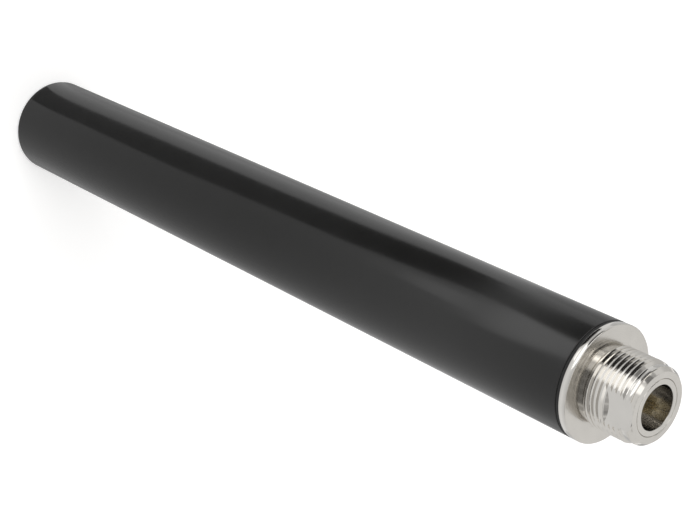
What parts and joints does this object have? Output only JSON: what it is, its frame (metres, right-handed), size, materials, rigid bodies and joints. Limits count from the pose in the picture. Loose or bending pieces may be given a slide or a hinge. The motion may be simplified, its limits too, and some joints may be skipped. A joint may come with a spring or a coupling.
{
  "type": "wifi antenna",
  "caption": "Straight tubular dual-band wifi antenna: a black radome tube with a flanged, threaded coaxial socket on one end and an etched dipole board inside.",
  "frame": {"origin": "middle of the closed tip's flat end, at the bottom of the part, which stands on it", "axes": "+Z along the tube's axis, from the closed tip up to the connector; -Y faces one of the two flats on the connector's barrel and the front face of the inner board"},
  "size_m": [0.023, 0.023, 0.1954],
  "materials": {
    "radome_plastic": "black moulded plastic, satin with a fine grain",
    "nickel_plate": "bright nickel plate on turned brass",
    "gold_plate": "gold plate on a turned and slotted contact",
    "black_rubber": "matt black rubber",
    "foam": "dark grey closed-cell foam",
    "laminate": "green glass-fibre laminate",
    "tinned_copper": "etched copper",
    "white_nylon": "natural nylon, moulded",
    "ptfe": "white fluoroplastic, turned",
    "cable_sheath": "brown translucent sheath",
    "silvered_wire": "silver-plated copper wire and braid",
    "solder": "solder, bright and smooth"
  },
  "bodies": {
    "root": {"radome_tube": "radome_plastic", "end_cap": "radome_plastic", "cap_seal_ring": "black_rubber", "tip_cushion": "foam", "antenna_board": "laminate", "front_copper": "tinned_copper", "rear_copper": "tinned_copper", "board_holder": "white_nylon", "lower_spacer": "white_nylon", "middle_spacer": "white_nylon", "upper_spacer": "white_nylon", "cable_core": "silvered_wire", "cable_dielectric": "ptfe", "cable_braid": "silvered_wire", "cable_jacket": "cable_sheath", "core_solder_joint": "solder", "braid_solder_joint": "solder", "crimp_ferrule": "nickel_plate", "cable_stem": "nickel_plate", "connector_body": "nickel_plate", "flange_gasket": "black_rubber", "spigot_oring": "black_rubber", "outer_contact": "nickel_plate", "front_insulator": "ptfe", "rear_insulator": "ptfe", "centre_contact": "gold_plate"}
  },
  "joints": []
}
